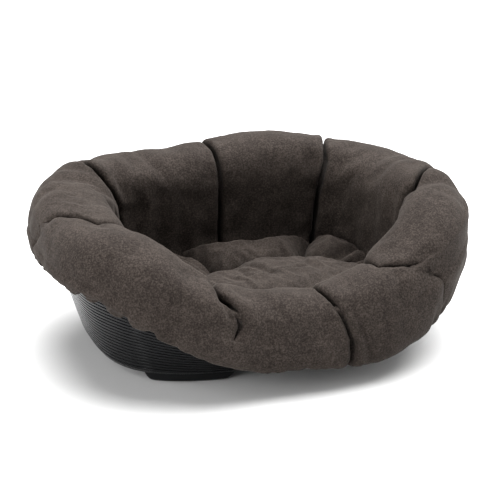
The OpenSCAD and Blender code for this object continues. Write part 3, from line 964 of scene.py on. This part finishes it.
def seat_seam_lines():
    """Plan lines of the six seams from the seat's edge to their tufts, and the one between the tufts."""
    lines = []
    for k, (q, tuft) in enumerate(SEAT_SEAMS):
        a, b = seat_edge(np.array(float(q))), np.array(TUFTS[tuft])
        side = np.array([-(b - a)[1], (b - a)[0]])
        t = np.linspace(0, 1, 20)[:, None]
        sway = 0.10 * (-1) ** k
        lines.append(a + (b - a) * t + side * sway * np.sin(t * math.pi))
    a, b = np.array(TUFTS[0]), np.array(TUFTS[1])
    t = np.linspace(0, 1, 20)[:, None]
    lines.append(a + (b - a) * t + np.array([0, 0.012]) * np.sin(t * math.pi))
    return lines


def seat_mesh(spacing=0.0052):
    """Plan points and triangles of the seat, how many points its edge has, the points of each seam, and
    the triangles' edges that lie on a seam or on the seat's edge."""
    rng = np.random.default_rng(11)
    edge = even_line(seat_edge(np.linspace(0, 360, 721)), spacing)[:-1]
    lines = [even_line(line, spacing) for line in seat_seam_lines()]
    points = [p for p in edge]
    edges = [(i, (i + 1) % len(edge)) for i in range(len(edge))]
    held = set(range(len(edge)))

    def index_of(p):
        near = [i for i in held if np.linalg.norm(points[i] - p) < spacing * 0.55]
        if near:
            return min(near, key=lambda i: np.linalg.norm(points[i] - p))
        points.append(p)
        held.add(len(points) - 1)
        return len(points) - 1

    seam_points = []
    for line in lines:
        numbers = [index_of(p) for p in line]
        seam_points.append([i for n, i in enumerate(numbers) if n == 0 or i != numbers[n - 1]])
        edges += list(zip(seam_points[-1], seam_points[-1][1:]))
    fixed = np.array(points)
    low, high = fixed.min(0), fixed.max(0)
    xs = np.arange(low[0], high[0], spacing)
    ys = np.arange(low[1], high[1], spacing * 0.866)
    for j, y in enumerate(ys):
        row = np.stack([xs + (j % 2) * spacing / 2, np.full(len(xs), y)], -1)
        row += rng.uniform(-0.18, 0.18, row.shape) * spacing
        angle = np.degrees(np.arctan2(row[:, 1], row[:, 0]))
        inside = np.linalg.norm(row, axis=1) < np.linalg.norm(seat_edge(angle), axis=1) - spacing * 0.6
        for p in row[inside]:
            if np.min(np.linalg.norm(fixed - p, axis=1)) > spacing * 0.62:
                points.append(p)
    result = delaunay_2d_cdt([Vector(p) for p in points], edges, [], 0, 1e-7)
    plan = np.array([v[:] for v in result[0]])
    walls = {frozenset(e) for e, source in zip(result[1], result[4]) if source}
    return plan, [list(f) for f in result[2]], len(edge), seam_points, walls


def pillow_of(plan, faces, walls):
    """Which pillow each triangle is in, found by spreading from triangle to triangle between seams."""
    by_edge = {}
    for n, f in enumerate(faces):
        for i in range(3):
            by_edge.setdefault(frozenset((f[i], f[(i + 1) % 3])), []).append(n)
    label = [-1] * len(faces)
    middles = np.array([plan[f].mean(0) for f in faces])
    seams = [q for q, _ in SEAT_SEAMS] + [360]
    for k in range(6):
        q = (seams[k] + seams[k + 1]) / 2
        target = seat_edge(np.array(q)) * 0.9
        first = int(np.argmin(np.linalg.norm(middles - target, axis=1)))
        todo = [first]
        while todo:
            n = todo.pop()
            if label[n] != -1:
                continue
            label[n] = k
            f = faces[n]
            for i in range(3):
                e = frozenset((f[i], f[(i + 1) % 3]))
                if e not in walls:
                    todo += [m for m in by_edge[e] if label[m] == -1]
    return label


PILLOW_RISE = [0.036, 0.036, 0.030, 0.032, 0.036, 0.030]
SEAT_CREASE = 0.013      # radius and depth to which the seat turns in at a seam
# Loose folds of the seat: the ends of the fold's plan line, its depth and its half width
SEAT_FOLDS = [((0.105, 0.012), (0.185, 0.034), 0.020, 0.008),
              ((-0.036, 0.036), (-0.019, -0.040), 0.008, 0.009),
              ((-0.010, 0.020), (0.018, -0.050), 0.006, 0.008),
              ((-0.036, 0.036), (-0.085, 0.085), 0.010, 0.008),
              ((-0.055, 0.020), (-0.105, 0.030), 0.007, 0.010),
              ((0.040, 0.060), (0.060, 0.120), 0.004, 0.012)]


def distance_to_lines(plan, lines):
    """Each plan point's distance to the nearest of some lines of points."""
    best = np.full(len(plan), 1e9)
    for line in lines:
        a, b = line[:-1], line[1:]
        d = b - a
        for p0, dd in zip(a, d):
            t = np.clip(((plan - p0) @ dd) / (dd @ dd), 0, 1)
            best = np.minimum(best, np.linalg.norm(plan - p0 - t[:, None] * dd, axis=1))
    return best


def make_seat():
    plan, faces, edge_count, seam_points, walls = seat_mesh()
    label = pillow_of(plan, faces, walls)
    lines = [plan[line] for line in seam_points]
    to_seam = distance_to_lines(plan, lines)
    to_edge = distance_to_lines(plan, [np.vstack([plan[:edge_count], plan[:1]])])
    to_tuft = np.min([np.linalg.norm(plan - np.array(t), axis=1) for t in TUFTS], axis=0)
    lowest = mix(TUFT_Z, SEAM_Z, smooth(to_tuft / 0.06))
    lowest = mix(EDGE_Z, lowest, smooth(to_edge / 0.02))
    near = np.minimum(to_seam, to_edge)
    share = np.array([PILLOW_RISE[k] for k in range(6)])
    rise = np.zeros(len(plan))
    weight = np.zeros(len(plan))
    for f, k in zip(faces, label):
        for i in f:
            rise[i] += share[k]
            weight[i] += 1
    rise /= np.maximum(weight, 1)
    dome = (1 - np.exp(-near / 0.020)) * rise
    start = lowest + dome * 0.9
    top = np.column_stack([plan, start])
    top = swell_seat(top, faces, edge_count, seam_points)
    turned = np.clip(1 - near / SEAT_CREASE, 0, 1)
    top[:, 2] -= SEAT_CREASE * (1 - np.sqrt(1 - turned ** 2))
    for start, end, depth, width in SEAT_FOLDS:
        to_fold = distance_to_lines(plan, [np.linspace(start, end, 5)])
        top[:, 2] -= depth * np.exp(-(to_fold / width) ** 2) * np.clip(near / 0.006, 0, 1)
    top[:, 2] += noise_at(top, 30, 3) * 0.0022 * np.clip(near / 0.01, 0, 1)
    top[:, 2] = np.minimum(top[:, 2], SEAT_TOP + 0.012)
    apply_subdivision([close_pillow(name, top, [f for f, n in zip(faces, label) if n == k])
                       for k, name in enumerate(PILLOWS)])


def swell_seat(top, faces, edge_count, seam_points):
    """The seat's upper face after it is blown up, held at its edge and seams."""
    count = len(top)
    under = top.copy()
    under[:, 2] = COVER_Z
    all_faces = faces + [[i + count for i in reversed(f)] for f in faces]
    all_faces += [[i, i + count, (i + 1) % edge_count + count, (i + 1) % edge_count]
                  for i in range(edge_count)]
    obj = new_object("seat_cloth", np.vstack([top, under]), all_faces)
    held = set(range(edge_count)) | {i for line in seam_points for i in line} | set(range(count, 2 * count))
    moved = swell(obj, sorted(held), stuffing=0.3, pressure=4, grow=0.05, cap=0.010, bending=10)
    return moved[:count]


def close_pillow(name, top, faces):
    """A closed pillow: its part of the seat's upper face, its sides and its flat underside."""
    used = sorted({i for f in faces for i in f})
    number = {i: n for n, i in enumerate(used)}
    upper = top[used]
    count = len(used)
    sides = {}
    for f in faces:
        for i in range(3):
            a, b = f[i], f[(i + 1) % 3]
            if (b, a) in sides:
                del sides[(b, a)]
            else:
                sides[(a, b)] = True
    middle = upper[:, :2].mean(0)
    under = upper.copy()
    under[:, :2] = middle + (under[:, :2] - middle) * 0.985
    under[:, 2] = COVER_Z
    all_faces = [[number[i] for i in f] for f in faces]
    all_faces += [[number[i] + count for i in reversed(f)] for f in faces]
    all_faces += [[number[b], number[a], number[a] + count, number[b] + count] for a, b in sides]
    obj = new_object("seat_pillow_" + name, np.vstack([upper, under]), all_faces, PLUSH)
    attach(obj, "cover")
    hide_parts("seat_" + name, "seat_fill_" + name)
    return obj


# ---- Lining, hem and elastic ----

HEM_STATIONS = 720
HEM_PAD = 0.0012         # thickness of the plush round the casing
HEM_PINCH = 0.0055       # how far the elastic gathers the casing in
HEM_WAVE = 0.005         # and how far it moves it up and down
# Plan angles round the hem, and how strong the gathers are there
GATHER_AT = [0, 100, 175, 190, 210, 224, 232, 275, 315, 360]
GATHERED = [0.6, 0.55, 1.0, 1.5, 1.3, 0.5, 0.1, 0.1, 0.4, 0.6]


def gathers(q):
    """How far the hem is gathered at each station, from -1 in a pinch to about 0.5 between two."""
    rng = np.random.default_rng(5)
    value = np.zeros_like(q)
    a = 0.0
    while a < 360:
        strength = np.interp(a % 360, GATHER_AT, GATHERED)
        width = rng.uniform(0.7, 1.5)
        apart = np.abs((q - a + 180) % 360 - 180)
        value -= strength * rng.uniform(0.6, 1.0) * np.exp(-(apart / width) ** 2)
        a += rng.uniform(3.2, 7.5)
    return value + 0.35


def make_hem():
    """The casing along the cover's lower edge, gathered by the elastic inside it."""
    q = np.arange(HEM_STATIONS) * 360 / HEM_STATIONS
    pull = gathers(q)
    ring = np.linspace(0, 2 * math.pi, 14, endpoint=False)
    rows = []
    for a in ring:
        o = hem_o(q) + HEM_W / 2 + HEM_PAD + (HEM_W / 2 + HEM_PAD) * signed_pow(math.cos(a), 0.8)
        o = o + np.maximum(math.cos(a), 0) * pull * HEM_PINCH
        z = hem_z(q) + HEM_H / 2 + (HEM_H / 2 + HEM_PAD) * signed_pow(math.sin(a), 0.8) - pull * HEM_WAVE
        rows.append(place(q, np.maximum(o, hem_o(q) + FIT_GAP), z))
    points = np.stack(rows)
    faces = grid_faces(len(rows), HEM_STATIONS, wrap_rows=True, wrap_cols=True)
    obj = new_object("hem", points, [f[::-1] for f in faces], PLUSH)
    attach(obj, "cover")
    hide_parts("cover_skirt", "hem_casing")


def make_elastic():
    q = np.arange(360.0)
    outline = [(0.0020, 0.0028), (0.0030, 0.0024), (0.0040, 0.0028), (0.0044, 0.0062), (0.0040, 0.0092),
               (0.0030, 0.0096), (0.0020, 0.0092), (0.0016, 0.0062)]
    rows = [place(q, hem_o(q) + o, hem_z(q) + z) for o, z in outline]
    faces = grid_faces(len(rows), len(q), wrap_rows=True, wrap_cols=True)
    obj = new_object("elastic_band", np.stack(rows), [f[::-1] for f in faces], ELASTIC)
    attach(obj, "cover")
    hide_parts("hem_elastic")


def lining_rows(q, face):
    """The lining from the middle of its floor up the wall, over the rim and down to the skirt."""
    h = rim_z(q)
    inside, out, top = round_rim(face)
    floor = BASE_Z + WALL + 0.001 + face
    rows = [place(q, inside - TAPER - FLOOR_IN, floor)]
    rows += [place(q, inside - TAPER * (1 - t), mix(BASE_Z, h, t)) for t in np.linspace(0.1, 0.97, 16)]
    rows += [place(q, inside + o, h + top - z) for o, z in ((0.0, 0.004), (0.0012, 0.0012), (0.004, 0.0))]
    rows += [place(q, out - o, h + top - z) for o, z in ((0.004, 0.0), (0.0012, 0.0012), (0.0, 0.004))]
    rows += [place(q, out, h - d) for d in (0.008, 0.018, 0.028, SKIRT_TOP)]
    return rows


def make_lining():
    q = np.arange(0, 360, 1.5)
    lower, upper = lining_rows(q, 0.0), lining_rows(q, LINING_T)
    wave = noise_at(place(q, 0.0, 0.0), 30, 8) * 0.0003
    rows = np.stack(lower + upper[::-1])
    rows[..., 2] += wave
    cols = len(q)
    faces = grid_faces(len(rows), cols, wrap_cols=True)
    start = len(rows) * cols
    points = [rows.reshape(-1, 3)]
    for ring, up in ((rows[0], False), (rows[-1], True)):
        base = 0 if not up else (len(rows) - 1) * cols
        previous = [base + i for i in range(cols)]
        for s in (0.8, 0.6, 0.4, 0.2):
            inner = ring * np.array([s, s, 1])
            inner[:, 2] += noise_at(inner, 22, 6) * 0.0004
            points.append(inner)
            numbers = [start + i for i in range(cols)]
            start += cols
            band = [[previous[i], previous[(i + 1) % cols], numbers[(i + 1) % cols], numbers[i]]
                    for i in range(cols)]
            faces += band if up else [f[::-1] for f in band]
            previous = numbers
        faces.append(previous if up else previous[::-1])
    obj = new_object("cover_lining_sheet", np.concatenate(points), faces, LINING, crease_angle=60)
    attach(obj, "cover")
    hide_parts("cover_lining")


# ---- Camera, floor and light ----

CAMERA_AZIMUTH = -20     # degrees from straight in front, and less than 0 to the bed's left
CAMERA_ELEVATION = 20.6
CAMERA_DISTANCE = 2.424
CAMERA_LENS = 115.2
LOOK_PAST = Vector((0.0106, 0.0296, -0.0065))    # the point looked at, from the middle of the CAD box


def make_camera():
    """Looks down at the bed's front, from its left."""
    azimuth, elevation = math.radians(CAMERA_AZIMUTH), math.radians(CAMERA_ELEVATION)
    low, high = cad_box
    target = (Vector(low) + Vector(high)) / 2 + LOOK_PAST
    back = Vector((math.sin(azimuth) * math.cos(elevation), -math.cos(azimuth) * math.cos(elevation),
                   math.sin(elevation)))
    data = bpy.data.cameras.new("camera")
    data.sensor_width = 36
    data.lens = CAMERA_LENS
    camera = link(bpy.data.objects.new("camera", data))
    camera.location = target + back * CAMERA_DISTANCE
    camera.rotation_euler = back.to_track_quat("Z", "Y").to_euler()
    bpy.context.scene.camera = camera


def make_stage():
    size = 9.0
    points = [(-size, -size, 0), (size, -size, 0), (size, size, 0), (-size, size, 0)]
    floor = new_object("floor", points, [[0, 1, 2, 3]], floor_material())


# Suns: direction, strength and width in degrees
SUNS = {"top": ((-0.30, -0.28, -1.0), 10.0, 70),
        "left": ((1.0, -0.10, -0.45), 2.0, 50),
        "right": ((-1.0, -0.05, -0.35), 1.3, 50)}
STRIP_SIZE = (0.30, 1.0)         # a tall strip light, which the tub reflects
STRIP_AIM = Vector((-0.22, -0.16, 0.08))
STRIP_FROM = Vector((-0.85, -0.53, 0.30))
STRIP_DISTANCE = 1.5
STRIP_POWER = 10
WORLD_STRENGTH = 0.36


def make_light():
    world = bpy.data.worlds.new("world")
    bpy.context.scene.world = world
    world.use_nodes = True
    background = world.node_tree.nodes["Background"]
    background.inputs["Color"].default_value = (1, 1, 1, 1)
    background.inputs["Strength"].default_value = WORLD_STRENGTH
    for name, (direction, strength, angle) in SUNS.items():
        data = bpy.data.lights.new(name, "SUN")
        data.energy = strength
        data.angle = math.radians(angle)
        light = link(bpy.data.objects.new(name, data))
        light.rotation_euler = Vector(direction).to_track_quat("-Z", "Y").to_euler()
    strip = bpy.data.lights.new("strip", "AREA")
    strip.shape = "RECTANGLE"
    strip.size, strip.size_y = STRIP_SIZE
    strip.energy = STRIP_POWER
    light = link(bpy.data.objects.new("strip", strip))
    toward = STRIP_FROM.normalized()
    light.location = STRIP_AIM + toward * STRIP_DISTANCE
    light.rotation_euler = toward.to_track_quat("Z", "Y").to_euler()
    bpy.context.scene.view_settings.view_transform = "Standard"


make_camera()
make_tub()
make_feet()
make_bolster()
make_seat()
make_hem()
make_elastic()
make_lining()
make_stage()
make_light()
